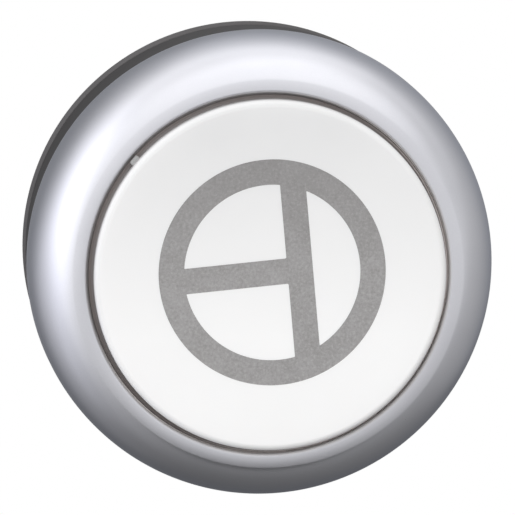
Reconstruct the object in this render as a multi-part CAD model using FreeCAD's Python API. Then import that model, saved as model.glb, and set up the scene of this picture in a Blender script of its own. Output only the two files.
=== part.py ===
import FreeCAD, Part
import math
import os

# Flush momentary push button for a 22.3 mm panel hole, front towards -Y and +Z up.
# Each piece is drawn with its axis along h, the height in front of the panel (negative behind
# it), and is turned at export: local (x, y, h) becomes (X, Z, -Y).  The origin is where the
# button's axis meets the rear face of the panel gasket.  Millimetres and degrees.

Vector = FreeCAD.Vector
ORIGIN = Vector(0, 0, 0)
X_AXIS, Y_AXIS, H_AXIS = Vector(1, 0, 0), Vector(0, 1, 0), Vector(0, 0, 1)
SIDES = (-1, 1)

# Button cap and the carrier behind it
CAP_FACE = 15.0           # front face of the button
CAP_R = 11.15
CAP_EDGE = 0.45           # rounding of the front edge
CAP_BACK = 13.9
CARRIER_R = 11.12
CARRIER_RIM_R = 11.44     # rim, the floor of the gap round the cap
CARRIER_RIM_H = 13.7
CARRIER_IN = 10.2         # inside of the skirt
CARRIER_END = 10.3        # rear end of the skirt
CARRIER_WEB = 13.0        # rear face of the web
LUG_ANGLES = (30, 150, 270)
LUG_END = 12.05           # rear end of the cap's snap lugs
GATE_ANGLE = 138.9        # moulding gate mark on the cap's rim

# Symbol in the cap's face: a ring with a chord across it and a stem
SYMBOL_X, SYMBOL_Y = 0.12, 0.26
SYMBOL_RO, SYMBOL_RI = 7.19, 5.58
SYMBOL_MID_R = (SYMBOL_RO + SYMBOL_RI) / 2
SYMBOL_W = 1.62           # width of the chord and the stem
SYMBOL_CHORD = 1.78       # chord's middle from the symbol's centre
SYMBOL_TURN = 5.0         # anticlockwise, seen from the front
SYMBOL_DEPTH = 0.17
INLAY_SINK = 0.015        # inlay's face below the cap's face

# Front ring
BEZEL_R = 14.85
BEZEL_BORE = 11.51
BEZEL_SEAT_R = 13.65      # bore that fits over the spigot
BEZEL_FOOT = 7.6          # where the ring stands on the collar
LIP_OUTER_R = 12.4        # where the crowned lip meets the rounded flank
LIP_INNER_R = BEZEL_BORE + 0.16
LIP_H = 14.065            # height of the lip at its crown
LIP_CROWN = 6.0           # radius of the crown
FLANK_R = 11.6            # centre of the flank's super-ellipse
FLANK_H = 8.4
FLANK_RISE = 5.72
FLANK_POWER = 2.3
FLANK_STEPS = 14

# Collar and gasket
COLLAR_R = 14.4
GASKET_R = 14.52
GASKET_T = 1.3
HUB_R = 11.6              # hub that centres the gasket
SPIGOT_R = 13.6           # spigot the front ring snaps on
SPIGOT_TOP = 10.8
WELL_R = 12.6             # well that the carrier's skirt moves in
FLOOR = 1.9               # floor of the well

# Barrel
LAND_R = 11.0             # land that centres the barrel in the panel hole
LAND_A, LAND_B = -1.5, -3.7
KEYWAY_R = 10.6           # neck beside the anti-rotation key
KEY_W, KEY_R = 3.0, 12.6
NECK_REAR = 0.15          # where the neck meets the hub
THREAD_R, THREAD_D = 10.8, 0.55
PITCH = 1.5
THREAD_A, THREAD_B = -4.2, -17.0
TAIL_R = 10.2             # plain tail of the barrel
BARREL_END = -25.2
BORE_FRONT = 8.6          # bore in front of the switch
BORE_R = 9.4              # bore round the switch
SHOULDER = -9.5           # shoulder the switch case stops on
# One thread groove, rear to front: distance behind the front of its turn, depth below the crest
THREAD_TURN = [(1.40, 0), (0.95, THREAD_D), (0.80, THREAD_D), (0.35, 0), (0, 0)]

# Guide tube and plunger
TUBE_BORE, TUBE_R = 4.95, 6.8
TUBE_TOP, TUBE_END = 6.6, -3.6
GLAND_R, GLAND_A = 6.0, 4.9
SHAFT_R = 4.9
PLUNGER_RIM_H = CARRIER_WEB - 0.03

# Panel clamp
WASHER_BORE = 11.15
WASHER_A, WASHER_B = -3.9, -4.6
NUT_A, NUT_B = -4.6, -9.2
NUT_R, NUT_BORE = 12.8, 10.9
NUT_RELIEF, NUT_RELIEF_D = 11.15, 2.2   # counterbore that clears the land

# Switch case and terminal base
CASE_R = 9.35
CASE_FRONT, CASE_REAR = SHOULDER, -22.3
CHAMBER_TOP = -10.7
BASE_REAR = -23.8
SCREW_Y = 7.0
SCREW_HOLE_R = 1.0
RING_FRONT, RING_REAR = -23.85, -24.4   # barrel snap ring
RING_EAR_X, RING_EAR_ANGLE = 8.45, 13.5

# Contacts
SLIDER_TOP, SLIDER_REAR = -6.02, -14.8
BRIDGE_FRONT, BRIDGE_REAR = -12.2, -12.8
CONTACT_X = 4.9
TIP_R = 1.05
BRIDGE_TIP_T, FIXED_TIP_T = 0.49, 0.5
GAP = 1.8                 # opening between the bridge and the normally open contacts
TIP_CLEARANCE = 0.01      # kept in addition to the gap

# Terminals: a strip across the chamber and a blade to the rear
STRIP_T, STRIP_X0, STRIP_Y0 = 0.5, 3.8, 1.3
BLADE_END = -31.5
BLADE_W, BLADE_T = 2.8, 0.5
BLADE_X0, BLADE_Y0 = 6.4, 1.7
BLADE_SLOT_FIT = 0.05
NC_FRONT = CHAMBER_TOP
NO_FRONT = BRIDGE_REAR - BRIDGE_TIP_T - GAP - TIP_CLEARANCE - FIXED_TIP_T


# ---------------------------------------------------------------- helpers
def revolve(outline):
    """Full turn of a (radius, height) outline, closed by a straight line. After the first
    point an item may also be ("spline", points) or ("arc", middle, end)."""
    def point(pair):
        return Vector(pair[0], 0, pair[1])

    first = last = point(outline[0])
    edges = []
    for item in outline[1:]:
        if item[0] == "spline":
            run = [last] + [point(pair) for pair in item[1]]
            curve = Part.BSplineCurve()
            curve.interpolate(run)
            end = run[-1]
        elif item[0] == "arc":
            end = point(item[2])
            curve = Part.Arc(last, point(item[1]), end)
        else:
            end = point(item)
            curve = Part.LineSegment(last, end)
        edges.append(curve.toShape())
        last = end
    edges.append(Part.LineSegment(last, first).toShape())
    solid = Part.Face(Part.Wire(edges)).revolve(ORIGIN, H_AXIS, 360)
    if solid.Volume < 0:
        solid.reverse()
    return solid


def cylinder(radius, h1, h2, x=0.0, y=0.0):
    return Part.makeCylinder(radius, abs(h2 - h1), Vector(x, y, min(h1, h2)), H_AXIS)


def box(x1, x2, y1, y2, h1, h2):
    corner = Vector(min(x1, x2), min(y1, y2), min(h1, h2))
    return Part.makeBox(abs(x2 - x1), abs(y2 - y1), abs(h2 - h1), corner)


def tube(outer, inner, h1, h2):
    bore = cylinder(inner, min(h1, h2) - 1, max(h1, h2) + 1)
    return cylinder(outer, h1, h2).cut(bore)


def o_ring(mean_radius, cord_radius, height):
    return Part.makeTorus(mean_radius, cord_radius, Vector(0, 0, height))


def turned(shape, degrees):
    result = shape.copy()
    result.rotate(ORIGIN, H_AXIS, degrees)
    return result


def clean(shape):
    """Merge split faces and unwrap a lone solid."""
    solids = shape.removeSplitter().Solids
    return solids[0] if len(solids) == 1 else Part.makeCompound(solids)


def spring(mean_radius, wire_radius, rear, front, turns):
    """Compression spring with a closed coil at each end, as one swept round wire."""
    low, high = rear + wire_radius, front - wire_radius
    closed_turns = 1.0
    closed = 2.12 * wire_radius * closed_turns
    steps = int(turns * 16)
    times = [turns * i / steps for i in range(steps + 1)]
    heights = []
    for time in times:
        if time < closed_turns:
            height = low + closed * (time / closed_turns)
        elif time > turns - closed_turns:
            height = high - closed * ((turns - time) / closed_turns)
        else:
            live = (time - closed_turns) / (turns - 2 * closed_turns)
            height = low + closed + (high - low - 2 * closed) * live
        heights.append(height)
    # soften the pitch change between closed and live coils
    for _ in range(6):
        inner = [
            (heights[i - 1] + 2 * heights[i] + heights[i + 1]) / 4 for i in range(1, steps)
        ]
        heights = [heights[0]] + inner + [heights[-1]]
    points = []
    for time, height in zip(times, heights):
        angle = 2 * math.pi * time
        points.append(
            Vector(mean_radius * math.cos(angle), mean_radius * math.sin(angle), height)
        )
    curve = Part.BSplineCurve()
    curve.interpolate(points)
    start = curve.value(curve.FirstParameter)
    tangent = curve.tangent(curve.FirstParameter)[0]
    pipe = Part.BRepOffsetAPI.MakePipeShell(Part.Wire([curve.toShape()]))
    pipe.setFrenetMode(True)
    pipe.add(Part.Wire([Part.makeCircle(wire_radius, start, tangent)]), False, False)
    pipe.build()
    pipe.makeSolid()
    solid = pipe.shape()
    if solid.Volume < 0:
        solid.reverse()
    return solid


# ---------------------------------------------------------------- front ring and housing
def lip_height(radius):
    """Height of the crowned lip, falling away outwards as a parabola."""
    return LIP_H - (radius - LIP_INNER_R) ** 2 / (2 * LIP_CROWN)


def bezel_flank():
    """Super-ellipse from the ring's largest radius up to the outer edge of the lip."""
    points = []
    for i in range(1, FLANK_STEPS + 1):
        angle = (math.pi / 2) * i / FLANK_STEPS
        radius = FLANK_R + (BEZEL_R - FLANK_R) * math.cos(angle) ** (2 / FLANK_POWER)
        if radius <= LIP_OUTER_R + 0.12:
            break
        points.append((radius, FLANK_H + FLANK_RISE * math.sin(angle) ** (2 / FLANK_POWER)))
    points.append((LIP_OUTER_R, lip_height(LIP_OUTER_R)))
    return points


def bezel_ring():
    lip_mid_r = (LIP_OUTER_R + LIP_INNER_R) / 2
    return revolve([
        (BEZEL_SEAT_R, BEZEL_FOOT),
        (BEZEL_R - 0.15, BEZEL_FOOT),
        ("arc", (BEZEL_R - 0.044, BEZEL_FOOT + 0.044), (BEZEL_R, BEZEL_FOOT + 0.15)),
        (BEZEL_R, FLANK_H),
        ("spline", bezel_flank()),
        ("arc", (lip_mid_r, lip_height(lip_mid_r)), (LIP_INNER_R, LIP_H)),
        ("arc", (BEZEL_BORE + 0.047, LIP_H - 0.067), (BEZEL_BORE, LIP_H - 0.18)),
        (BEZEL_BORE, 11.0),
        (12.5, 11.0),
        (12.5, 11.6),
        (BEZEL_SEAT_R, 11.6),
        # snap bead
        (BEZEL_SEAT_R, 9.15),
        (13.42, 9.0),
        (13.42, 8.8),
        (BEZEL_SEAT_R, 8.65),
    ])


def barrel_thread():
    """Thread outline, rear to front: run-out chamfer and ring grooves."""
    turns = int((THREAD_A - THREAD_B) / PITCH)
    rear = THREAD_A - turns * PITCH
    points = [(THREAD_R - 0.3, rear - 0.4), (THREAD_R, rear)]
    for i in reversed(range(turns)):
        front = THREAD_A - i * PITCH
        points += [(THREAD_R - depth, front - back) for back, depth in THREAD_TURN]
    return points


def housing():
    """Collar, barrel and guide tube in one piece."""
    body = revolve([
        (TUBE_BORE, TUBE_END),
        (TUBE_R, TUBE_END),
        (TUBE_R, -0.1),
        (BORE_FRONT, -0.1),
        (BORE_FRONT, SHOULDER),
        (BORE_R, SHOULDER),
        # groove for the snap ring
        (BORE_R, -23.78),
        (9.75, -23.78),
        (9.75, -24.48),
        (BORE_R, -24.48),
        # tail and thread
        (BORE_R, BARREL_END),
        (TAIL_R - 0.3, BARREL_END),
        (TAIL_R, BARREL_END + 0.3),
        (TAIL_R, THREAD_B - 0.55),
        *barrel_thread(),
        # land, neck and hub
        (10.4, THREAD_A + 0.1),
        (10.4, LAND_B),
        (LAND_R, LAND_B),
        (LAND_R, LAND_A),
        (KEYWAY_R, LAND_A),
        (KEYWAY_R, NECK_REAR),
        (HUB_R, NECK_REAR),
        (HUB_R, GASKET_T),
        # collar and grooved spigot
        (COLLAR_R, GASKET_T),
        (COLLAR_R - 0.06, BEZEL_FOOT),
        (SPIGOT_R, BEZEL_FOOT),
        (SPIGOT_R, 8.5),
        (13.3, 8.6),
        (13.3, 9.2),
        (SPIGOT_R, 9.3),
        (SPIGOT_R, SPIGOT_TOP - 0.2),
        (SPIGOT_R - 0.2, SPIGOT_TOP),
        # well, guide tube and seal gland
        (WELL_R, SPIGOT_TOP),
        (WELL_R, FLOOR),
        (TUBE_R, FLOOR),
        (TUBE_R, TUBE_TOP),
        (GLAND_R, TUBE_TOP),
        (GLAND_R, GLAND_A),
        (TUBE_BORE, GLAND_A),
    ])
    key = box(-KEY_W / 2, KEY_W / 2, KEYWAY_R - 0.4, KEY_R, NECK_REAR, LAND_A)
    body = body.fuse(key.common(cylinder(KEY_R, -3, 1)))
    # slots in the guide tube for the plunger's wings
    slot = box(4.5, 5.9, -1.1, 1.1, TUBE_END - 1, 4.0)
    for angle in (0, 180):
        body = body.cut(turned(slot, angle))
    return clean(body)


def panel_gasket():
    bore = HUB_R + 0.05
    body = revolve([
        (bore, 0.0),
        (GASKET_R - 0.12, 0.0),
        (GASKET_R, 0.12),
        (GASKET_R, 0.85),
        ("arc", (GASKET_R - 0.06, 1.14), (COLLAR_R - 0.08, GASKET_T)),
        (bore, GASKET_T),
    ])
    # notch for the key
    fit = 0.15
    half = KEY_W / 2 + fit
    return clean(body.cut(box(-half, half, 11.0, KEY_R + fit, -1, GASKET_T + 1)))


# ---------------------------------------------------------------- cap, symbol and carrier
def symbol(rear, front):
    half = SYMBOL_W / 2
    ring = tube(SYMBOL_RO, SYMBOL_RI, rear, front)
    chord = box(SYMBOL_CHORD - half, SYMBOL_CHORD + half, -7, 7, rear, front)
    chord = chord.common(cylinder(SYMBOL_MID_R, rear, front))
    stem = box(-SYMBOL_MID_R + 0.2, SYMBOL_CHORD, -half, half, rear, front)
    shape = turned(ring.fuse(chord).fuse(stem).removeSplitter(), SYMBOL_TURN)
    shape.translate(Vector(SYMBOL_X, SYMBOL_Y, 0))
    return shape


def snap_lug():
    """Lug on +X that hooks behind the carrier's web."""
    lug = cylinder(9.25, LUG_END, CAP_BACK + 0.2).cut(cylinder(8.62, 11, CAP_BACK + 1))
    hook = revolve([(8.9, LUG_END), (9.25, LUG_END), (9.55, 12.5), (9.55, 12.9), (8.9, 12.9)])
    return lug.fuse(hook).common(box(7, 11, -1.5, 1.5, 11, 15))


def button_cap():
    inset = CAP_EDGE * (1 - math.sqrt(0.5))
    cap = revolve([
        (0.0, CAP_BACK),
        (0.0, CAP_FACE),
        (CAP_R - CAP_EDGE, CAP_FACE),
        ("arc", (CAP_R - inset, CAP_FACE - inset), (CAP_R, CAP_FACE - CAP_EDGE)),
        (CAP_R, CAP_BACK + 0.12),
        (CAP_R - 0.12, CAP_BACK),
    ])
    lug = snap_lug()
    for angle in LUG_ANGLES:
        cap = cap.fuse(turned(lug, angle))
    gate = box(CAP_R - 0.3, CAP_R + 0.17, -0.45, 0.45, 13.95, 14.22)
    outer_edges = [edge for edge in gate.Edges if edge.BoundBox.XMin > CAP_R + 0.1]
    cap = cap.fuse(turned(gate.makeFillet(0.1, outer_edges), GATE_ANGLE))
    return clean(cap.cut(symbol(CAP_FACE - SYMBOL_DEPTH, CAP_FACE + 0.5)))


def symbol_inlay():
    return clean(symbol(CAP_FACE - SYMBOL_DEPTH, CAP_FACE - INLAY_SINK))


def cap_carrier():
    seat = CAP_BACK - 0.02
    carrier = revolve([
        (0.0, 8.6),
        (2.8, 8.6),
        (3.12, 8.9),
        (3.12, CARRIER_WEB),
        (CARRIER_IN, CARRIER_WEB),
        (CARRIER_IN, CARRIER_END),
        (CARRIER_R - 0.2, CARRIER_END),
        (CARRIER_R, CARRIER_END + 0.2),
        (CARRIER_R, CARRIER_RIM_H - 0.95),
        (CARRIER_RIM_R, CARRIER_RIM_H - 0.72),
        (CARRIER_RIM_R, CARRIER_RIM_H - 0.1),
        (CARRIER_RIM_R - 0.1, CARRIER_RIM_H),
        (CAP_R - 0.1, CARRIER_RIM_H),
        (CAP_R - 0.1, seat),
        (0.0, seat),
    ])
    # windows for the cap's lugs
    window = tube(9.35, 8.52, CARRIER_WEB - 1, CAP_BACK + 1)
    window = window.common(box(7, 11, -1.65, 1.65, 11, 15))
    for angle in LUG_ANGLES:
        carrier = carrier.cut(turned(window, angle))
    return clean(carrier)


# ---------------------------------------------------------------- plunger and its seal
def plunger():
    body = revolve([
        # nose and clip groove
        (0.0, -6.0), (1.6, -6.0), (1.9, -5.7), (1.9, -4.9), (4.5, -4.9),
        (4.8, -4.6), (4.8, -4.25), (4.1, -4.25), (4.1, -3.6),
        # shaft and head
        (SHAFT_R, -3.6), (SHAFT_R, 11.6), (8.1, 11.6), (8.38, 11.88), (8.38, PLUNGER_RIM_H),
        # ring groove in the head, then the central bore
        (7.4, PLUNGER_RIM_H), (7.4, 12.3), (4.1, 12.3), (4.1, PLUNGER_RIM_H),
        (3.2, PLUNGER_RIM_H), (3.2, 2.0), (0.0, 2.0),
    ])
    wing = box(4.2, 5.78, -1.0, 1.0, -3.55, 3.8)
    for angle in (0, 180):
        body = body.fuse(turned(wing, angle))
    rib = box(4.0, 7.5, -0.5, 0.5, 12.2, CARRIER_WEB - 0.1)
    for angle in (90, 210, 330):
        body = body.fuse(turned(rib, angle))
    return clean(body)


def plunger_clip():
    """External clip that stops the plunger in the guide tube, open towards -y."""
    return clean(tube(6.4, 4.12, -3.68, -4.18).cut(box(-2.6, 2.6, -8, 0, -3, -5)))


def seal_retainer():
    """Ring that keeps the shaft seal in its gland."""
    return revolve([
        (5.15, 5.98), (5.97, 5.98), (5.97, TUBE_TOP), (6.7, TUBE_TOP),
        (6.7, 6.85), (5.35, 6.85), (5.15, 6.65),
    ])


# ---------------------------------------------------------------- panel clamp
def clamp_washer():
    rear = WASHER_B + 0.02
    return revolve([
        (WASHER_BORE, rear),
        (NUT_R - 0.1, rear),
        (NUT_R, rear + 0.1),
        (NUT_R, WASHER_A - 0.1),
        (NUT_R - 0.1, WASHER_A),
        (WASHER_BORE, WASHER_A),
    ])


def locking_nut():
    relief_end = NUT_A - NUT_RELIEF_D
    crest = relief_end - 0.1
    nut = revolve([
        (NUT_RELIEF, NUT_A),
        (NUT_RELIEF, relief_end),
        # one thread crest and groove
        (NUT_BORE, crest),
        (NUT_BORE, crest - 0.3),
        (NUT_BORE + 0.45, crest - 0.7),
        (NUT_BORE + 0.45, crest - 0.85),
        (NUT_BORE + 0.25, NUT_B),
        # outside
        (NUT_R - 0.35, NUT_B),
        (NUT_R, NUT_B + 0.35),
        (NUT_R, NUT_A - 0.2),
        (NUT_R - 0.2, NUT_A),
    ])
    # six notches, with five small flutes between each pair
    notch = box(11.95, 14, -1.5, 1.5, NUT_B - 1, NUT_A - 1.0)
    for i in range(6):
        nut = nut.cut(turned(notch, i * 60 + 30))
    flute = cylinder(0.35, NUT_B - 1, NUT_A - 0.9, x=NUT_R + 0.12)
    for i in range(6):
        for k in (-2, -1, 0, 1, 2):
            nut = nut.cut(turned(flute, i * 60 + k * 7.5))
    return clean(nut)


# ---------------------------------------------------------------- switch case and base
def switch_case():
    case = cylinder(CASE_R, CASE_REAR, CASE_FRONT)
    chamber = box(-7.2, 7.2, -4.8, 4.8, CASE_REAR - 1, CHAMBER_TOP)
    case = case.cut(chamber.common(cylinder(8.5, CASE_REAR - 1, CHAMBER_TOP)))
    # opening for the slider
    case = case.cut(box(-2.1, 2.1, -2.6, 2.6, CHAMBER_TOP - 0.1, CASE_FRONT + 1))
    for side in SIDES:
        case = case.cut(cylinder(SCREW_HOLE_R, CASE_REAR - 1, -18.0, y=side * SCREW_Y))
    return clean(case)


def terminal_base():
    base = cylinder(CASE_R, BASE_REAR, CASE_REAR)
    # posts that reach the normally open strips
    for side in SIDES:
        base = base.fuse(
            box(side * 4.0, side * 6.0, -1.2, 1.2, CASE_REAR, NO_FRONT - STRIP_T)
        )
    # peg inside the slider spring
    base = base.fuse(cylinder(1.2, CASE_REAR - 0.1, -21.3))
    slot_x = (BLADE_X0 - BLADE_SLOT_FIT, BLADE_X0 + BLADE_T + BLADE_SLOT_FIT)
    slot_y = (BLADE_Y0 - BLADE_SLOT_FIT, BLADE_Y0 + BLADE_W + BLADE_SLOT_FIT)
    for x_side in SIDES:
        for y_side in SIDES:
            base = base.cut(box(
                x_side * slot_x[0], x_side * slot_x[1],
                y_side * slot_y[0], y_side * slot_y[1],
                BASE_REAR - 1, CASE_REAR + 1,
            ))
    for side in SIDES:
        base = base.cut(
            cylinder(SCREW_HOLE_R, BASE_REAR - 1, CASE_REAR + 1, y=side * SCREW_Y)
        )
    return clean(base)


def base_screw(y):
    """Cross-slotted screw that closes the switch."""
    head = cylinder(1.6, BASE_REAR - 1.0, BASE_REAR, y=y)
    screw = head.fuse(cylinder(0.95, BASE_REAR, -18.6, y=y))
    for half_x, half_y in ((0.25, 1.1), (1.1, 0.25)):
        slot = box(-half_x, half_x, y - half_y, y + half_y, BASE_REAR - 1.5, BASE_REAR - 0.5)
        screw = screw.cut(slot)
    return clean(screw)


def barrel_snap_ring():
    """Internal ring that keeps the switch in the barrel, gap and ears at -X."""
    def at_ears(radius, rear, front):
        pin = cylinder(radius, rear, front, x=RING_EAR_X)
        return [turned(pin, 180 + side * RING_EAR_ANGLE) for side in SIDES]

    ring = tube(9.7, 8.8, RING_FRONT, RING_REAR)
    for ear in at_ears(0.95, RING_REAR, RING_FRONT):
        ring = ring.fuse(ear)
    ring = ring.cut(box(-11, -7, -1, 1, -25, -23))
    for hole in at_ears(0.42, -25, -23):
        ring = ring.cut(hole)
    return clean(ring)


# ---------------------------------------------------------------- moving and fixed contacts
def contact_slider():
    slider = box(-2.0, 2.0, -2.5, 2.5, SLIDER_TOP, SLIDER_REAR)
    # window for the bridge and its spring
    slider = slider.cut(box(-3, 3, -1.65, 1.65, -12.87, -7.2))
    # pegs that centre the two springs
    slider = slider.fuse(cylinder(1.2, -15.6, SLIDER_REAR + 0.1))
    slider = slider.fuse(cylinder(0.7, -8.4, -7.1))
    return clean(slider)


def contact_bridge():
    bridge = box(-6.2, 6.2, -1.5, 1.5, BRIDGE_FRONT, BRIDGE_REAR)
    # notched corners
    for y_side in (1, -1):
        for x_side in SIDES:
            bridge = bridge.cut(
                box(x_side * 5.95, x_side * 9, y_side * 1.25, y_side * 3, -12, -13)
            )
    return clean(bridge.cut(cylinder(0.45, -14, -11)))


def tip_pair(flat, crown):
    """Two round contact tips with a softened rim on the working face, at height crown."""
    body = cylinder(TIP_R, flat, crown)
    rim = [
        edge
        for edge in body.Edges
        if edge.Closed
        and abs(edge.BoundBox.ZMax - crown) < 1e-6
        and abs(edge.BoundBox.ZMin - crown) < 1e-6
    ]
    body = body.makeFillet(0.2, rim)
    tips = []
    for side in SIDES:
        tip = body.copy()
        tip.translate(Vector(side * CONTACT_X, 0, 0))
        tips.append(tip)
    return tips


def bridge_tips():
    return Part.makeCompound(
        tip_pair(BRIDGE_FRONT, BRIDGE_FRONT + BRIDGE_TIP_T)
        + tip_pair(BRIDGE_REAR, BRIDGE_REAR - BRIDGE_TIP_T)
    )


def fixed_contact_tips():
    nc_flat = NC_FRONT - STRIP_T
    return Part.makeCompound(
        tip_pair(nc_flat, nc_flat - FIXED_TIP_T) + tip_pair(NO_FRONT, NO_FRONT + FIXED_TIP_T)
    )


# ---------------------------------------------------------------- terminals
def terminal(front):
    """Strip and quick-connect blade at +X, with the blade on the +y side."""
    blade_y1 = BLADE_Y0 + BLADE_W
    middle = (BLADE_Y0 + blade_y1) / 2
    blade_x1 = BLADE_X0 + BLADE_T
    blade = box(BLADE_X0, blade_x1, BLADE_Y0, blade_y1, front, BLADE_END)
    # tapered end
    for side in SIDES:
        edge_y = middle + side * BLADE_W / 2
        corner = Vector(5, edge_y, BLADE_END)
        inner = Vector(5, edge_y - side * 0.6, BLADE_END)
        upper = Vector(5, edge_y, BLADE_END + 0.9)
        triangle = Part.Face(Part.makePolygon([corner, inner, upper, corner]))
        blade = blade.cut(triangle.extrude(Vector(4, 0, 0)))
    hole = Part.makeCylinder(0.6, 4, Vector(5, middle, BLADE_END + 2.6), X_AXIS)
    blade = blade.cut(hole)
    strip = box(STRIP_X0, blade_x1, -STRIP_Y0, blade_y1, front - STRIP_T, front)
    return strip.fuse(blade)


nc_terminal = terminal(NC_FRONT)
no_terminal = terminal(NO_FRONT).mirror(ORIGIN, Y_AXIS)

PIECES = {
    "bezel_ring": bezel_ring(),
    "bezel_o_ring": o_ring(mean_radius=13.06, cord_radius=0.37, height=11.2),
    "housing": housing(),
    "panel_gasket": panel_gasket(),
    "button_cap": button_cap(),
    "symbol_inlay": symbol_inlay(),
    "cap_carrier": cap_carrier(),
    "plunger": plunger(),
    "plunger_clip": plunger_clip(),
    "shaft_seal": o_ring(mean_radius=5.46, cord_radius=0.5, height=5.42),
    "seal_retainer": seal_retainer(),
    "return_spring": spring(
        mean_radius=7.6, wire_radius=0.4, rear=FLOOR + 0.04, front=11.56, turns=5.5
    ),
    "clamp_washer": clamp_washer(),
    "locking_nut": locking_nut(),
    "switch_case": switch_case(),
    "terminal_base": terminal_base(),
    "base_screws": Part.makeCompound([base_screw(side * SCREW_Y) for side in SIDES]),
    "barrel_snap_ring": barrel_snap_ring(),
    "contact_slider": contact_slider(),
    "slider_spring": spring(
        mean_radius=1.75, wire_radius=0.2, rear=-22.26, front=-14.84, turns=5.5
    ),
    "contact_spring": spring(
        mean_radius=1.2, wire_radius=0.15, rear=-12.16, front=-7.24, turns=6.0
    ),
    "contact_bridge": contact_bridge(),
    "bridge_tips": bridge_tips(),
    "fixed_contact_tips": fixed_contact_tips(),
    "nc_terminal_right": clean(nc_terminal),
    "nc_terminal_left": clean(nc_terminal.mirror(ORIGIN, X_AXIS)),
    "no_terminal_right": clean(no_terminal),
    "no_terminal_left": clean(no_terminal.mirror(ORIGIN, X_AXIS)),
}

# Turn each piece onto the export frame and write it
os.makedirs("parts", exist_ok=True)
for name, shape in PIECES.items():
    placed = shape.copy()
    placed.rotate(ORIGIN, X_AXIS, 90)
    placed.exportStep(f"parts/{name}.step")
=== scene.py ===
"""A round push-button switch: satin chrome front ring, white cap with an inlaid grey symbol.

Its axis lies along Y. The front faces -Y, +X is right, +Z is up and the panel plane is y = 0.
The ring, cap, symbol and gasket are built here; the other pieces keep their CAD meshes.
"""
import bpy, bmesh, math
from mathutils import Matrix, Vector


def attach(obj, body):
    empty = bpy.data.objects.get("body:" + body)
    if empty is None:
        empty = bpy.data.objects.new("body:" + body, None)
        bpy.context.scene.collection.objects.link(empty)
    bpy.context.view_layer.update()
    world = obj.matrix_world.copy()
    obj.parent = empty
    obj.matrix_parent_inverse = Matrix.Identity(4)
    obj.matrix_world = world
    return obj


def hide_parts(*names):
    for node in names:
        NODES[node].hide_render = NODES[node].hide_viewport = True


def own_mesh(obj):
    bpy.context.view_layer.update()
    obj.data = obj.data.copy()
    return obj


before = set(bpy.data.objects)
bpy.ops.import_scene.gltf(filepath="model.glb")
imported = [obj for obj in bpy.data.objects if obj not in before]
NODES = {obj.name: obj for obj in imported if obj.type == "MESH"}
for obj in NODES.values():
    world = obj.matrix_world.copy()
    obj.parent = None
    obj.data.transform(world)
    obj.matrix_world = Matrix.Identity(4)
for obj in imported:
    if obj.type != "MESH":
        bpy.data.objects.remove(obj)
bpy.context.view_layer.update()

SCENE = bpy.context.scene

MM = 0.001
SEGMENTS = 384
RING_SEGMENTS = 512

# Part sizes in millimetres. Radii are from the axis, heights are in front of the panel.
# Front ring
RING_R, RING_FOOT, FOOT_ROUND = 14.85, 7.6, 0.15
RING_CAVITY_R = 13.65           # inside radius behind the flank
BORE_R = 11.51
BORE_WALL_R = BORE_R - 0.05     # just behind the mouth of the bore
LIP_R, LIP_TOP = 12.4, 14.077   # outer radius and top of the crowned lip
LIP_ROUND = 0.16                # rounding from the lip into the bore
LIP_CROWN_R = 4.67
LIP_X, LIP_Y = -0.045, 0.045    # the opening sits a little to the upper left
LIP_SHIFT_FROM = 13.715         # height above which the lip is shifted
LIP_SHIFT_FADE = 0.5            # radial width over which the shift grows

# Cap
CAP_R, CAP_EDGE, CAP_FACE, CAP_BACK = 11.165, 0.45, 15.0, 13.9
CAP_X, CAP_Y = 0.035, 0.019
CAP_CHAMFER = 0.12
LUG_ANGLES, LUG_HALF_ANGLE, LUG_STEPS = (30, 150, 270), 9.6, 10
TAB_INNER_R, TAB_OUTER_R, TAB_HALF_WIDTH = CAP_R - 0.3, CAP_R + 0.255, 0.32
TAB_ANGLE, TAB_LOW, TAB_HIGH = 138.9, 13.95, 14.22

# Symbol: a circle with a vertical chord right of its middle and a bar running left from it
SYMBOL_X, SYMBOL_Y, SYMBOL_TURN = 0.095, 0.275, 5.0
SYMBOL_OUTER_R, SYMBOL_INNER_R = 7.19, 5.58
STROKE, CHORD_X = 1.62, 1.77
INLAY_BOTTOM, INLAY_TOP = CAP_FACE - 0.165, CAP_FACE - 0.012
POCKET_BOTTOM, POCKET_TOP = CAP_FACE - 0.17, CAP_FACE + 0.4


# ---------------------------------------------------------------- geometry helpers
def at(x, y, h):
    """Scene position of a point: x right, y up, h in front of the panel, in millimetres."""
    return Vector((x * MM, -h * MM, y * MM))


def arc(centre_r, centre_h, radius, start, end, steps):
    """Points on an arc in the (r, h) plane, angles in degrees."""
    angles = [math.radians(start + (end - start) * i / steps) for i in range(steps + 1)]
    return [(centre_r + radius * math.cos(a), centre_h + radius * math.sin(a)) for a in angles]


def circle_points(radius, start, end, steps):
    """Points on a circle about the origin, angles in radians."""
    angles = [start + (end - start) * k / steps for k in range(steps + 1)]
    return [(radius * math.cos(a), radius * math.sin(a)) for a in angles]


def full_circle(radius, count):
    return circle_points(radius, 0.0, 2 * math.pi, count)[:-1]


def soften(points, radius, steps=4):
    """Rounds the corners of a closed outline where there is room; points on the axis stay."""
    out = []
    for i, point in enumerate(points):
        corner = Vector(point)
        if corner.x < 1e-6:
            out.append((corner.x, corner.y))
            continue
        before = Vector(points[i - 1]) - corner
        after = Vector(points[(i + 1) % len(points)]) - corner
        length_before, length_after = before.length, after.length
        before.normalize()
        after.normalize()
        angle = math.acos(max(-1, min(1, before.dot(after))))
        if angle > math.radians(160):
            out.append((corner.x, corner.y))
            continue
        cut = min(radius / math.tan(angle / 2), length_before * 0.45, length_after * 0.45)
        start, end = corner + before * cut, corner + after * cut
        for k in range(steps + 1):
            t = k / steps
            q = start * (1 - t) ** 2 + corner * 2 * t * (1 - t) + end * t * t
            out.append((q.x, q.y))
    return out


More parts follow.
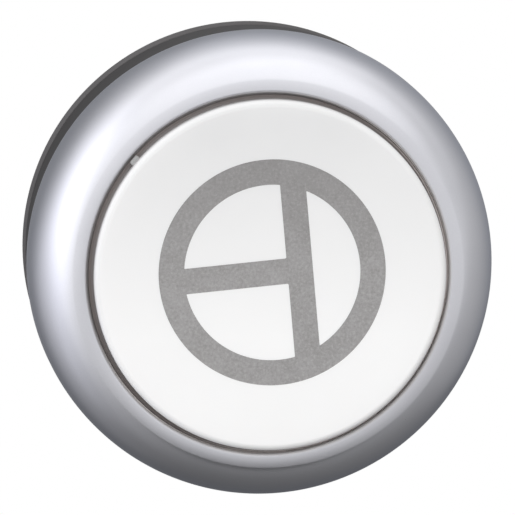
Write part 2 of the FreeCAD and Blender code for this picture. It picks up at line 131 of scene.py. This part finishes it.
def turn(outline, degrees, centre_x=0.0, centre_y=0.0):
    """Turns an outline about the origin, then moves it to the centre."""
    c, s = math.cos(math.radians(degrees)), math.sin(math.radians(degrees))
    return [(x * c - y * s + centre_x, x * s + y * c + centre_y) for x, y in outline]


def add_object(name, data):
    obj = bpy.data.objects.new(name, data)
    SCENE.collection.objects.link(obj)
    return obj


def smooth_shade(bm, sharp_angle):
    """Smooth faces, with edges steeper than sharp_angle (degrees) kept sharp."""
    limit = math.radians(sharp_angle)
    for face in bm.faces:
        face.smooth = True
    for edge in bm.edges:
        edge.smooth = not (len(edge.link_faces) == 2 and edge.calc_face_angle(0) > limit)


def to_mesh(bm, name):
    mesh = bpy.data.meshes.new(name)
    bm.to_mesh(mesh)
    bm.free()
    return mesh


def finish_mesh(bm, name, sharp_angle=32.0):
    """Merges, turns the faces outward, shades and makes the object."""
    bmesh.ops.remove_doubles(bm, verts=bm.verts, dist=2e-9)
    bmesh.ops.recalc_face_normals(bm, faces=bm.faces)
    if bm.calc_volume(signed=True) < 0:
        bmesh.ops.reverse_faces(bm, faces=bm.faces)
    smooth_shade(bm, sharp_angle)
    return add_object(name, to_mesh(bm, name))


def spin(profile, segments=SEGMENTS, centre_x=0.0, centre_y=0.0):
    """Turns a closed (r, h) profile about the axis."""
    bm = bmesh.new()
    rings = []
    for r, h in profile:
        places = [(0.0, 0.0)] if r < 1e-6 else full_circle(r, segments)
        rings.append([bm.verts.new(at(centre_x + x, centre_y + y, h)) for x, y in places])
    for i, a in enumerate(rings):
        b = rings[(i + 1) % len(rings)]
        if len(a) == 1 and len(b) == 1:
            continue
        for k in range(segments):
            after = (k + 1) % segments
            if len(a) == 1:
                bm.faces.new((a[0], b[k], b[after]))
            elif len(b) == 1:
                bm.faces.new((a[k], b[0], a[after]))
            else:
                bm.faces.new((a[k], b[k], b[after], a[after]))
    return bm


def prism(name, outline, low, high):
    """A straight prism on a closed (x, y) outline."""
    bm = bmesh.new()
    bottom = [bm.verts.new(at(x, y, low)) for x, y in outline]
    top = [bm.verts.new(at(x, y, high)) for x, y in outline]
    for k in range(len(outline)):
        after = (k + 1) % len(outline)
        bm.faces.new((bottom[k], bottom[after], top[after], top[k]))
    bm.faces.new(list(reversed(bottom)))
    bm.faces.new(top)
    return finish_mesh(bm, name)


def evaluated_mesh(obj):
    graph = bpy.context.evaluated_depsgraph_get()
    return bpy.data.meshes.new_from_object(obj.evaluated_get(graph))


def plate_with_holes(name, outer, holes, low, high):
    """A flat plate with openings, from a filled and extruded curve."""
    curve = bpy.data.curves.new(name + "_c", "CURVE")
    curve.dimensions = "2D"
    curve.fill_mode = "BOTH"
    curve.extrude = (high - low) / 2 * MM
    for loop in [outer] + holes:
        spline = curve.splines.new("POLY")
        spline.points.add(len(loop) - 1)
        for point, (x, y) in zip(spline.points, loop):
            point.co = (x * MM, y * MM, 0, 1)
        spline.use_cyclic_u = True
    source = add_object(name + "_c", curve)
    mesh = evaluated_mesh(source)
    bpy.data.objects.remove(source)
    bm = bmesh.new()
    bm.from_mesh(mesh)
    bpy.data.meshes.remove(mesh)
    middle = (low + high) / 2 * MM
    for vert in bm.verts:
        x, y, z = vert.co
        vert.co = Vector((x, -(z + middle), y))
    bmesh.ops.remove_doubles(bm, verts=bm.verts, dist=1e-7)
    return finish_mesh(bm, name, 40.0)


def boolean(obj, tool, operation, sharp_angle):
    """Applies a boolean with the tool, then removes the tool."""
    modifier = obj.modifiers.new("cut", "BOOLEAN")
    modifier.operation = operation
    modifier.object = tool
    modifier.solver = "EXACT"
    mesh = evaluated_mesh(obj)
    obj.modifiers.clear()
    old = obj.data
    obj.data = mesh
    bpy.data.meshes.remove(old)
    bpy.data.objects.remove(tool)
    bm = bmesh.new()
    bm.from_mesh(mesh)
    smooth_shade(bm, sharp_angle)
    bm.to_mesh(mesh)
    bm.free()


# ---------------------------------------------------------------- shader helpers
class Graph:
    """A node tree cleared down to its output node."""

    def __init__(self, owner, output_kind):
        owner.use_nodes = True
        self.tree = owner.node_tree
        self.tree.nodes.clear()
        self.output = self.node(output_kind)

    def feed(self, socket, value):
        """Links a socket, or sets a plain value."""
        if isinstance(value, bpy.types.NodeSocket):
            self.tree.links.new(value, socket)
        else:
            socket.default_value = value

    def node(self, kind, inputs={}, **settings):
        made = self.tree.nodes.new("ShaderNode" + kind)
        for key, value in settings.items():
            setattr(made, key, value)
        for key, value in inputs.items():
            self.feed(made.inputs[key], value)
        return made

    def object_place(self):
        return self.node("TexCoord").outputs["Object"]

    def split(self, vector):
        return self.node("SeparateXYZ", {0: vector}).outputs

    def noise(self, place, *, scale, detail=3.0, roughness=0.55):
        inputs = {"Vector": place, "Scale": scale, "Detail": detail, "Roughness": roughness}
        return self.node("TexNoise", inputs).outputs["Fac"]

    def remap(self, value, span, to=(0.0, 1.0), interpolation="LINEAR"):
        inputs = {
            "Value": value,
            "From Min": span[0], "From Max": span[1],
            "To Min": to[0], "To Max": to[1],
        }
        made = self.node("MapRange", inputs, interpolation_type=interpolation)
        return made.outputs["Result"]

    def mix(self, factor, first, second):
        """Mixes two colours; the colour sockets of the node are 6 and 7."""
        inputs = {"Factor": factor, 6: first, 7: second}
        return self.node("Mix", inputs, data_type="RGBA").outputs[2]

    def mix_shader(self, factor, first, second):
        inputs = {0: factor, 1: first.outputs[0], 2: second.outputs[0]}
        return self.node("MixShader", inputs).outputs[0]

    def math(self, operation, a, b):
        return self.node("Math", {0: a, 1: b}, operation=operation).outputs[0]

    def dot(self, a, b):
        made = self.node("VectorMath", {0: a, 1: b}, operation="DOT_PRODUCT")
        return made.outputs["Value"]

    def axis_distance(self, x, z):
        squares = self.math("ADD", self.math("POWER", x, 2.0), self.math("POWER", z, 2.0))
        return self.math("POWER", squares, 0.5)


class Surface(Graph):
    """A new material with a Principled shader."""

    def __init__(self, name):
        self.material = bpy.data.materials.new(name)
        super().__init__(self.material, "OutputMaterial")
        self.shader = self.node("BsdfPrincipled")
        self.feed(self.output.inputs[0], self.shader.outputs[0])

    def set(self, inputs):
        for key, value in inputs.items():
            self.feed(self.shader.inputs[key], value)

    def scatter(self, weight, scale, radius):
        self.set({
            "Subsurface Weight": weight, "Subsurface Scale": scale, "Subsurface Radius": radius,
        })

    def rounded(self, radius):
        """Surface normal with its small edges rounded."""
        return self.node("Bevel", {"Radius": radius}, samples=4).outputs[0]

    def bump(self, height, *, strength, distance, normal=None):
        inputs = {"Strength": strength, "Distance": distance, "Height": height}
        if normal:
            inputs["Normal"] = normal
        self.set({"Normal": self.node("Bump", inputs).outputs[0]})


def srgb(*levels):
    """Linear colour from sRGB levels of 0 to 255."""
    out = []
    for c in levels:
        c /= 255.0
        out.append(c / 12.92 if c <= 0.04045 else ((c + 0.055) / 1.055) ** 2.4)
    return tuple(out) + (1.0,)


def scaled(colour, gain, lift=0.0):
    return tuple(min(1, c * gain + lift) for c in colour[:3]) + (1,)


def plastic(name, colour, *, variation, roughness, grain_scale, grain_depth,
            specular=0.5, scatter=0.0, grain_tint=None):
    """Moulded plastic: mottled colour, fine texture, uneven gloss and paler worn edges."""
    g = Surface(name)
    place = g.object_place()
    broad = g.noise(place, scale=260.0, detail=4.0)
    grain = g.noise(place, scale=grain_scale, detail=2.0, roughness=0.6)
    dark, light = scaled(colour, 1 - variation * 2.2), scaled(colour, 1 + variation)
    base = g.mix(g.remap(broad, span=(0.3, 0.7)), dark, light)
    base = g.mix(g.remap(grain, span=(0.2, 0.8), to=(0.0, 0.35)), base, grain_tint or light)

    # where the rounded normal leaves the true one there is an edge to wear
    rounded = g.rounded(0.00008)
    agreement = g.dot(rounded, g.node("NewGeometry").outputs["Normal"])
    wear = g.remap(agreement, span=(0.80, 1.0), to=(1.0, 0.0))
    patchy = g.math("MULTIPLY", wear, g.remap(broad, span=(0.35, 0.65), to=(0.15, 0.7)))
    gloss_range = (roughness - 0.06, roughness + 0.07)
    g.set({
        "Base Color": g.mix(patchy, base, scaled(colour, 1.25, lift=0.02)),
        "Roughness": g.remap(broad, span=(0.2, 0.8), to=gloss_range),
        "Specular IOR Level": specular,
    })
    if scatter:
        g.scatter(weight=scatter, scale=0.0008, radius=(1.0, 0.9, 0.8))
    g.bump(grain, strength=0.35, distance=grain_depth, normal=rounded)
    return g


def metal(name, colour, *, roughness, variation, grain_scale, grain_depth,
          line_scale=None, stain=None):
    """Bare or plated metal: fine grain or drawn lines, soft stains, rounded edges."""
    g = Surface(name)
    place = g.object_place()
    grain = g.noise(place, scale=grain_scale, detail=3.0, roughness=0.6)
    broad = g.noise(place, scale=320.0, detail=4.0, roughness=0.6)
    dark, light = scaled(colour, 1 - variation), scaled(colour, 1 + variation)
    base = g.mix(g.remap(broad, span=(0.3, 0.7)), dark, light)
    if stain:
        patches = g.noise(place, scale=700.0, detail=5.0, roughness=0.65)
        base = g.mix(g.remap(patches, span=(0.52, 0.75), to=(0.0, 0.55)), base, stain)
    gloss_range = (roughness - 0.08, roughness + 0.08)
    g.set({
        "Base Color": base,
        "Roughness": g.remap(grain, span=(0.25, 0.75), to=gloss_range),
        "Metallic": 1.0,
    })
    relief = grain
    if line_scale:
        stretched = g.node("Mapping", {"Vector": place, "Scale": line_scale}).outputs[0]
        relief = g.noise(stretched, scale=1.0, detail=2.0, roughness=0.5)
    g.bump(relief, strength=0.5, distance=grain_depth, normal=g.rounded(0.00006))
    return g


# ---------------------------------------------------------------- materials
# Colours are linear RGBA unless made with srgb; positions in them are metres
# unless named as millimetres.
def satin_chrome():
    """Front ring: fine grain turned round the axis, cool tint, matt inner edge with painted
    light and shade.
    """
    g = Surface("satin_chrome")
    place = g.object_place()
    x, y, z = g.split(place)
    radius = g.axis_distance(x, z)
    grain_density, grain_turn = 26000.0, 9.0    # across the turned lines, and along them
    turned_place = g.node("CombineXYZ", {
        0: g.math("MULTIPLY", radius, grain_density),
        1: g.math("MULTIPLY", y, grain_density),
        2: g.math("MULTIPLY", g.math("ARCTAN2", z, x), grain_turn),
    }).outputs[0]
    turned = g.noise(turned_place, scale=1.0, detail=2.0, roughness=0.5)
    fine = g.noise(place, scale=14000.0, detail=2.0, roughness=0.6)
    broad = g.noise(place, scale=170.0, detail=4.0, roughness=0.55)
    chrome = g.mix(g.remap(broad, span=(0.3, 0.7)),
                   (0.751, 0.75, 0.785, 1), (0.796, 0.794, 0.828, 1))
    speckle = g.remap(fine, span=(0.45, 0.8), to=(0.0, 0.16))
    chrome = g.mix(speckle, chrome, (0.62, 0.62, 0.66, 1))

    # the inner edge and the mouth of the bore are matt, in a grey lifted to offset the shade in
    # the narrow bore (painted light); within a band below the lip they get painted shade at the
    # upper left and painted light at the lower right
    height_mm = g.math("MULTIPLY", y, -1000.0)
    inner = g.math("MULTIPLY",
                   g.remap(radius, span=(0.01154, 0.01168), to=(1.0, 0.0)),
                   g.remap(height_mm, span=(12.6, 13.5)))
    band = g.math("MULTIPLY",
                  g.remap(height_mm, span=(13.84, 13.98), to=(1.0, 0.0)),
                  g.remap(height_mm, span=(13.40, 13.60)))
    painted_light_side = g.remap(g.math("SUBTRACT", x, z), span=(-0.008, 0.0))
    painted_light_and_shade = g.mix(painted_light_side, (0.30, 0.285, 0.28, 1), (0.96, 0.91, 0.885, 1))
    matt = g.mix(band, (0.58, 0.56, 0.552, 1), painted_light_and_shade)
    gloss = g.remap(fine, span=(0.2, 0.8), to=(0.27, 0.37))
    g.set({
        "Base Color": g.mix(inner, chrome, matt),
        "Roughness": g.math("MAXIMUM", gloss, g.math("MULTIPLY", inner, 0.6)),
        "Metallic": g.math("SUBTRACT", 1.0, inner),
        "Specular Tint": (0.62, 0.65, 0.71, 1),
    })
    relief = g.math("ADD", g.math("MULTIPLY", turned, 0.25), g.math("MULTIPLY", fine, 0.75))
    g.bump(relief, strength=0.22, distance=0.000004)
    return g


def white_moulded():
    """Cap: white, with painted shade towards the top and painted light towards the bottom,
    painted shade down its rounded rim and over the highlight at the upper left.
    """
    g = Surface("white_moulded")
    place = g.object_place()
    x, y, z = g.split(place)
    broad = g.noise(place, scale=120.0)
    fine = g.noise(place, scale=9000.0, detail=2.0)
    # painted light and shade: darker towards the top, paler towards the bottom
    lowness = g.remap(z, span=(-0.0038, 0.010), to=(1.0, 0.0))
    base = g.mix(lowness, (0.728, 0.724, 0.716, 1), (0.918, 0.910, 0.895, 1))
    mottle = g.remap(broad, span=(0.3, 0.7), to=(0.0, 0.3))
    base = g.mix(mottle, base, (0.865, 0.858, 0.842, 1))

    height_mm = g.math("MULTIPLY", y, -1000.0)
    # painted shade down the rounded rim into the gap, and painted shade dimming the highlight
    # at the upper left just off the face
    rim_painted_shade_fade = g.remap(height_mm, span=(13.92, 14.89), interpolation="SMOOTHSTEP")
    highlight_painted_shade = g.remap(g.math("SUBTRACT", z, x), span=(0.003, 0.010), to=(0.0, 0.085))
    off_the_face = g.remap(height_mm, span=(14.999, 14.97))
    base = g.mix(g.math("MULTIPLY", highlight_painted_shade, off_the_face), base, (0.0, 0.0, 0.0, 1))
    base = g.mix(rim_painted_shade_fade, (0.29, 0.278, 0.272, 1), base)

    # the tab reaches past the rim down into the gap and is painted one flat grey for its shade
    # (painted shade)
    painted_shade_tab = g.math("GREATER_THAN", g.axis_distance(x, z), 0.011215)
    g.set({
        "Base Color": g.mix(painted_shade_tab, base, (0.35, 0.35, 0.345, 1)),
        "Roughness": g.remap(fine, span=(0.2, 0.8), to=(0.36, 0.48)),
        "Specular IOR Level": 0.4,
    })
    g.scatter(weight=0.12, scale=0.0006, radius=(1.0, 0.95, 0.9))
    g.bump(fine, strength=0.15, distance=0.000004)
    return g


def grey_inlay():
    """Symbol: grey with paler and darker grains, and painted shade towards the top."""
    g = Surface("grey_inlay")
    place = g.object_place()
    broad = g.noise(place, scale=900.0, detail=4.0, roughness=0.7)
    fine = g.noise(place, scale=5200.0, detail=2.0, roughness=0.7)
    base = g.mix(g.remap(broad, span=(0.3, 0.7)), srgb(146, 144, 142), srgb(159, 157, 156))
    pale_grain = g.remap(fine, span=(0.5, 0.78), to=(0.0, 0.6))
    base = g.mix(pale_grain, base, srgb(182, 180, 178))
    dark_grain = g.remap(fine, span=(0.46, 0.22), to=(0.0, 0.5))
    base = g.mix(dark_grain, base, srgb(120, 118, 116))
    # painted shade towards the top
    top_painted_shade = g.remap(g.split(place)[2], span=(0.0, 0.007), to=(0.0, 0.35))
    g.set({
        "Base Color": g.mix(top_painted_shade, base, srgb(120, 118, 117)),
        "Roughness": 0.6,
        "Specular IOR Level": 0.35,
    })
    g.bump(fine, strength=0.4, distance=0.00001)
    return g


def dark_brown_moulded():
    """Cap carrier, whose rim is the floor of the gap between cap and ring, with painted light
    on its outer edge.
    """
    g = plastic("dark_brown_moulded", srgb(114, 105, 102), variation=0.06, roughness=0.6,
                grain_scale=5200.0, grain_depth=0.000006)
    plain = g.shader.inputs["Base Color"].links[0].from_socket
    x, y, z = g.split(g.object_place())
    radius = g.axis_distance(x, z)
    inside = g.remap(radius, span=(0.01116, 0.01132), to=(1.0, 0.0))
    gap_floor = g.mix(inside, plain, (0.24, 0.222, 0.216, 1))
    # painted light: the outer edge is painted pale, most towards the lower right
    toward = g.math("SUBTRACT", g.math("MULTIPLY", x, 0.87), g.math("MULTIPLY", z, 0.5))
    painted_light_edge = g.mix(g.remap(toward, span=(0.0, 0.0105)),
                   (0.24, 0.215, 0.206, 1), (0.88, 0.83, 0.81, 1))
    outer_edge = g.remap(radius, span=(0.01130, 0.01136))
    g.set({"Base Color": g.mix(outer_edge, gap_floor, painted_light_edge)})
    return g


CHROME = satin_chrome()
WHITE = white_moulded()
SYMBOL_GREY = grey_inlay()
BODY = plastic("black_moulded", srgb(38, 36, 36), variation=0.08, roughness=0.42,
               grain_scale=5200.0, grain_depth=0.000008, specular=0.28)
CARRIER = dark_brown_moulded()
NUT = plastic("black_nut_moulded", srgb(40, 40, 42), variation=0.10, roughness=0.46,
              grain_scale=4200.0, grain_depth=0.00001)
GASKET = plastic("grey_rubber", srgb(84, 82, 82), variation=0.07, roughness=0.78,
                 grain_scale=3600.0, grain_depth=0.000012, specular=0.25)
RUBBER = plastic("black_rubber", srgb(30, 30, 30), variation=0.10, roughness=0.7,
                 grain_scale=3600.0, grain_depth=0.00001, specular=0.3)
PLUNGER = plastic("natural_moulded", srgb(205, 200, 188), variation=0.04, roughness=0.42,
                  grain_scale=5200.0, grain_depth=0.000005, scatter=0.1)
CASE = plastic("charcoal_moulded", srgb(64, 66, 70), variation=0.08, roughness=0.55,
               grain_scale=4200.0, grain_depth=0.00001)
BASE = plastic("red_brown_phenolic", srgb(126, 58, 44), variation=0.10, roughness=0.5,
               grain_scale=2600.0, grain_depth=0.000012, grain_tint=srgb(150, 84, 66))
SLIDER = plastic("ivory_moulded", srgb(226, 220, 200), variation=0.03, roughness=0.4,
                 grain_scale=5200.0, grain_depth=0.000005, scatter=0.1)
SPRING = metal("drawn_spring_wire", (0.60, 0.60, 0.62), roughness=0.28, variation=0.06,
               grain_scale=8000.0, grain_depth=0.000003, line_scale=(9000.0, 1500.0, 9000.0))
ZINC = metal("zinc_plate", (0.66, 0.67, 0.69), roughness=0.36, variation=0.05,
             grain_scale=5200.0, grain_depth=0.000006, stain=(0.52, 0.54, 0.60, 1))
BRASS = metal("rolled_brass", (0.78, 0.58, 0.28), roughness=0.30, variation=0.06,
              grain_scale=6000.0, grain_depth=0.000004, line_scale=(500.0, 9000.0, 9000.0),
              stain=(0.52, 0.34, 0.14, 1))
TIN = metal("tin_plated_brass", (0.74, 0.72, 0.66), roughness=0.34, variation=0.05,
            grain_scale=6000.0, grain_depth=0.000005, line_scale=(9000.0, 700.0, 9000.0),
            stain=(0.62, 0.55, 0.42, 1))
SILVER = metal("contact_silver", (0.86, 0.85, 0.82), roughness=0.30, variation=0.04,
               grain_scale=7000.0, grain_depth=0.000004)


def paint(obj, surface):
    obj.data.materials.clear()
    obj.data.materials.append(surface.material)


def fit(obj, surface, *, replaces, rides):
    """Paints a built part and puts it in the place of its CAD node."""
    paint(obj, surface)
    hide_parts(replaces)
    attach(obj, rides)


# ---------------------------------------------------------------- front ring
def flank():
    """Super-ellipse flank (r, h) from the ring's widest height up to the lip."""
    centre_r, base_h, power, tall, steps = 11.6, 8.4, 2.3, 5.72, 90
    out = []
    for i in range(steps + 1):
        angle = (math.pi / 2) * i / steps
        r = centre_r + (RING_R - centre_r) * math.cos(angle) ** (2 / power)
        if r < LIP_R + 0.03:
            break
        out.append((r, base_h + tall * math.sin(angle) ** (2 / power)))
    return out


def crowned_lip(steps=16):
    """The lip (r, h) from its outer radius in to the rounding of the bore."""
    out = []
    for k in range(steps + 1):
        r = LIP_R - (LIP_R - BORE_R - LIP_ROUND) * k / steps
        out.append((r, LIP_TOP - (r - BORE_R - LIP_ROUND) ** 2 / (2 * LIP_CROWN_R)))
    return out


def build_ring():
    # (r, h) from the mouth of the bore back through the cavity
    inside = [
        (BORE_R, 13.73), (BORE_WALL_R, 13.70), (BORE_WALL_R, 12.6), (BORE_WALL_R, 11.0),
        (12.5, 11.0), (12.5, 11.6), (RING_CAVITY_R, 11.6), (RING_CAVITY_R, 9.15),
        (13.42, 9.0), (13.42, 8.8), (RING_CAVITY_R, 8.65),
    ]
    foot = arc(RING_R - FOOT_ROUND, RING_FOOT + FOOT_ROUND, FOOT_ROUND, -90, 0, 6)
    mouth = arc(BORE_R + LIP_ROUND, LIP_TOP - LIP_ROUND, LIP_ROUND, 90, 180, 8)[1:]
    profile = [(RING_CAVITY_R, RING_FOOT)] + foot + flank() + crowned_lip() + mouth + inside
    bm = spin(profile, RING_SEGMENTS)
    for vert in bm.verts:
        away = math.hypot(vert.co.x, vert.co.z) / MM
        if -vert.co.y / MM > LIP_SHIFT_FROM and away < LIP_R:
            share = min(1.0, (LIP_R - away) / LIP_SHIFT_FADE)
            vert.co.x += LIP_X * share * MM
            vert.co.z += LIP_Y * share * MM
    ring = finish_mesh(bm, "front_ring", 28.0)
    fit(ring, CHROME, replaces="bezel_ring", rides="housing")


# ---------------------------------------------------------------- cap and symbol
def symbol_outlines():
    """The outer circle and the three openings of the symbol, as closed (x, y) outlines."""
    chord_right, chord_left, bar_top = CHORD_X + STROKE / 2, CHORD_X - STROKE / 2, STROKE / 2
    half_angle = math.acos(chord_right / SYMBOL_INNER_R)
    right = circle_points(SYMBOL_INNER_R, -half_angle, half_angle, 90)
    start = math.acos(chord_left / SYMBOL_INNER_R)
    end = math.pi - math.asin(bar_top / SYMBOL_INNER_R)
    upper = circle_points(SYMBOL_INNER_R, start, end, 110) + [(chord_left, bar_top)]
    lower = [(x, -y) for x, y in reversed(upper)]

    def placed(outline):
        return turn(outline, SYMBOL_TURN, SYMBOL_X, SYMBOL_Y)

    clear = 100.0   # shift that keeps every point right of the axis while it is softened
    holes = []
    for outline in (right, upper, lower):
        rounded = soften([(x + clear, y) for x, y in outline], 0.10)
        holes.append(placed([(x - clear, y) for x, y in rounded]))
    return placed(full_circle(SYMBOL_OUTER_R, 256)), holes


def lug(middle_angle):
    """An arc-shaped lug behind the cap, with a lip facing outwards."""
    # (r, h)
    profile = [
        (8.62, 13.95), (8.62, 12.05), (8.9, 12.05), (9.25, 12.05),
        (9.55, 12.5), (9.55, 12.9), (9.25, 12.95), (9.25, 13.95),
    ]
    bm = bmesh.new()
    rows = []
    for k in range(LUG_STEPS + 1):
        degrees = middle_angle - LUG_HALF_ANGLE + 2 * LUG_HALF_ANGLE * k / LUG_STEPS
        c, s = math.cos(math.radians(degrees)), math.sin(math.radians(degrees))
        rows.append([bm.verts.new(at(r * c, r * s, h)) for r, h in profile])
    for a, b in zip(rows, rows[1:]):
        for i in range(len(profile)):
            after = (i + 1) % len(profile)
            bm.faces.new((a[i], a[after], b[after], b[i]))
    bm.faces.new(list(reversed(rows[0])))
    bm.faces.new(rows[-1])
    return finish_mesh(bm, "lug")


def rim_tab():
    """A small tab standing out from the cap's rim at the upper left."""
    outline = [
        (TAB_INNER_R, -TAB_HALF_WIDTH), (TAB_OUTER_R, -TAB_HALF_WIDTH),
        (TAB_OUTER_R, TAB_HALF_WIDTH), (TAB_INNER_R, TAB_HALF_WIDTH),
    ]
    return prism("gate", turn(soften(outline, 0.12), TAB_ANGLE), TAB_LOW, TAB_HIGH)


def build_symbol_and_cap():
    outer, holes = symbol_outlines()
    inlay = plate_with_holes("symbol_fill", outer, holes, INLAY_BOTTOM, INLAY_TOP)
    fit(inlay, SYMBOL_GREY, replaces="symbol_inlay", rides="button")

    edge_r = CAP_R - CAP_EDGE
    profile = (
        [(0.0, CAP_BACK), (0.0, CAP_FACE), (edge_r - 1.2, CAP_FACE)]
        + arc(edge_r, CAP_FACE - CAP_EDGE, CAP_EDGE, 90, 0, 12)
        + [(CAP_R, CAP_BACK + CAP_CHAMFER), (CAP_R - CAP_CHAMFER, CAP_BACK)]
    )
    sharp = 30.0
    cap = finish_mesh(spin(profile, SEGMENTS, CAP_X, CAP_Y), "cap_moulding", sharp)
    pocket = plate_with_holes("cutter", outer, holes, POCKET_BOTTOM, POCKET_TOP)
    boolean(cap, pocket, "DIFFERENCE", sharp)
    for angle in LUG_ANGLES:
        boolean(cap, lug(angle), "UNION", sharp)
    boolean(cap, rim_tab(), "UNION", sharp)
    fit(cap, WHITE, replaces="button_cap", rides="button")


# ---------------------------------------------------------------- gasket
def build_gasket():
    """A flat ring on the panel with a notch at the top."""
    # (r, h)
    profile = [
        (11.65, 0.0), (14.4, 0.0), (14.52, 0.12), (14.52, 0.85),
        (14.49, 1.05), (14.44, 1.2), (14.32, 1.3), (11.65, 1.3),
    ]
    sharp = 40.0
    gasket = finish_mesh(spin(soften(profile, 0.06, 3)), "seal_ring", sharp)
    # (x, y)
    notch = [(-1.65, 11.0), (1.65, 11.0), (1.65, 12.75), (-1.65, 12.75)]
    boolean(gasket, prism("notch", notch, -1.0, 2.5), "DIFFERENCE", sharp)
    fit(gasket, GASKET, replaces="panel_gasket", rides="housing")


build_ring()
build_symbol_and_cap()
build_gasket()

# ---------------------------------------------------------------- CAD pieces kept as they are
CAD_SURFACES = {
    "bezel_o_ring": RUBBER,
    "housing": BODY,
    "cap_carrier": CARRIER,
    "plunger": PLUNGER,
    "plunger_clip": SPRING,
    "shaft_seal": RUBBER,
    "seal_retainer": ZINC,
    "return_spring": SPRING,
    "clamp_washer": ZINC,
    "locking_nut": NUT,
    "switch_case": CASE,
    "terminal_base": BASE,
    "base_screws": ZINC,
    "barrel_snap_ring": SPRING,
    "contact_slider": SLIDER,
    "slider_spring": SPRING,
    "contact_spring": SPRING,
    "contact_bridge": BRASS,
    "bridge_tips": SILVER,
    "fixed_contact_tips": SILVER,
    "nc_terminal_right": TIN,
    "nc_terminal_left": TIN,
    "no_terminal_right": TIN,
    "no_terminal_left": TIN,
}
for node, surface in CAD_SURFACES.items():
    paint(NODES[node], surface)

# Springs, each given a mesh of its own: node, fixed y (m), shortening (mm), free length (mm)
SPRINGS = (
    ("return_spring", -0.00194, 4.5, 9.62),
    ("slider_spring", 0.02226, 4.5, 7.42),
    ("contact_spring", 0.01216, 2.72, 4.92),
)
for node, fixed_y, shortening, length in SPRINGS:
    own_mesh(NODES[node])

# ---------------------------------------------------------------- stage
SCENE.view_settings.view_transform = "Standard"
SCENE.view_settings.look = "None"
SCENE.view_settings.exposure = 0.0
SCENE.view_settings.gamma = 1.0

# Soft light: azimuth (0 in front, negative left) and elevation in degrees, the cosines
# between which it fades in, and its strength; negative ones darken
BASE_LIGHT = 0.1117
LEFT_PANEL = (-91.9, -7.4, 0.328, 2.700)
PANELS = (
    (-27.7, 53.5, -0.152, 0.824, 0.997),
    (*LEFT_PANEL, 4.744),
    (33.8, 63.7, -1.348, 1.891, 0.574),
    (9.9, 54.6, 0.477, 0.569, -0.393),
    (3.2, -32.2, 0.945, 0.968, -0.400),
    (87.9, 39.5, 0.130, 0.249, 0.109),
    (19.9, 115.9, 0.685, 0.727, 0.111),
    (-122.4, 50.4, 0.649, 1.574, -1.040),
    (-95.4, -31.1, 0.746, 0.949, -0.199),
)
WHITE_LIGHT = {"Color": (1, 1, 1, 1), "Strength": 1.0}


def toward_camera(azimuth, elevation):
    """Components of the direction from the object at these angles, in radians."""
    return (math.sin(azimuth) * math.cos(elevation),
            -math.cos(azimuth) * math.cos(elevation),
            math.sin(elevation))


def build_world():
    """Soft panels light the object; the camera sees plain white."""
    world = bpy.data.worlds.new("studio")
    SCENE.world = world
    g = Graph(world, "OutputWorld")
    direction = g.node("TexCoord").outputs["Generated"]

    def panel(azimuth, elevation, fade_start, fade_end):
        centre = toward_camera(math.radians(azimuth), math.radians(elevation))
        cosine = g.dot(direction, centre)
        return g.remap(cosine, span=(fade_start, fade_end), interpolation="SMOOTHSTEP")

    total = BASE_LIGHT
    for *shape, amount in PANELS:
        total = g.math("ADD", g.math("MULTIPLY", panel(*shape), amount), total)
    # the left panel is cooler
    cool = g.math("MINIMUM", g.math("MULTIPLY", panel(*LEFT_PANEL), 5.0), 1.0)
    lighting = g.node("Background", {
        "Color": g.mix(cool, (0.98, 0.985, 1.0, 1), (0.91, 0.925, 1.0, 1)),
        "Strength": g.math("MAXIMUM", total, 0.0),
    })
    backdrop = g.node("Background", WHITE_LIGHT)
    seen = g.node("LightPath").outputs["Is Camera Ray"]
    g.feed(g.output.inputs[0], g.mix_shader(seen, lighting, backdrop))


def build_fill_light():
    """A broad disk at the upper left in front, without reflections."""
    light = bpy.data.lights.new("soft_fill", "AREA")
    light.shape = "DISK"
    light.size = 0.45
    light.energy = 1.03
    obj = add_object("soft_fill", light)
    place, target = Vector((-0.12, -0.50, 0.30)), Vector((0, -0.01, 0))
    obj.location = place
    obj.rotation_euler = (target - place).to_track_quat("-Z", "Y").to_euler()
    obj.visible_glossy = False


def build_floor(half_size=3, height=-0.075):
    """White to a camera above it, clear to all other rays and from below."""
    bm = bmesh.new()
    for x, y in ((-1, -1), (1, -1), (1, 1), (-1, 1)):
        bm.verts.new((x * half_size, y * half_size, 0))
    bm.faces.new(bm.verts)
    floor = add_object("floor", to_mesh(bm, "floor"))
    floor.location = (0, 0, height)
    material = bpy.data.materials.new("floor_paper")
    g = Graph(material, "OutputMaterial")
    above = g.math("SUBTRACT", 1.0, g.node("NewGeometry").outputs["Backfacing"])
    seen = g.math("MULTIPLY", g.node("LightPath").outputs["Is Camera Ray"], above)
    clear, white = g.node("BsdfTransparent"), g.node("Emission", WHITE_LIGHT)
    g.feed(g.output.inputs[0], g.mix_shader(seen, clear, white))
    floor.data.materials.append(material)


def build_camera():
    """A long lens in front, a little to the left and above."""
    azimuth, elevation, distance = math.radians(-6.62), math.radians(8.79), 0.400
    aim_left, aim_up = 0.000844, 0.001227   # aim point's offset from the cap face, metres
    back = Vector(toward_camera(azimuth, elevation))
    right = Vector((0, 0, 1)).cross(back).normalized()
    up = back.cross(right)
    face = Vector((0, -0.015, 0))
    data = bpy.data.cameras.new("camera")
    data.sensor_width = 36.0
    data.lens = 444.6
    data.clip_start, data.clip_end = 0.01, 50.0
    camera = add_object("camera", data)
    camera.location = face + back * distance
    aim = face - right * aim_left + up * aim_up
    view = (camera.location - aim).normalized()
    camera.rotation_mode = "QUATERNION"
    camera.rotation_quaternion = (-view).to_track_quat("-Z", "Y")
    SCENE.camera = camera


build_world()
build_fill_light()
build_floor()
build_camera()
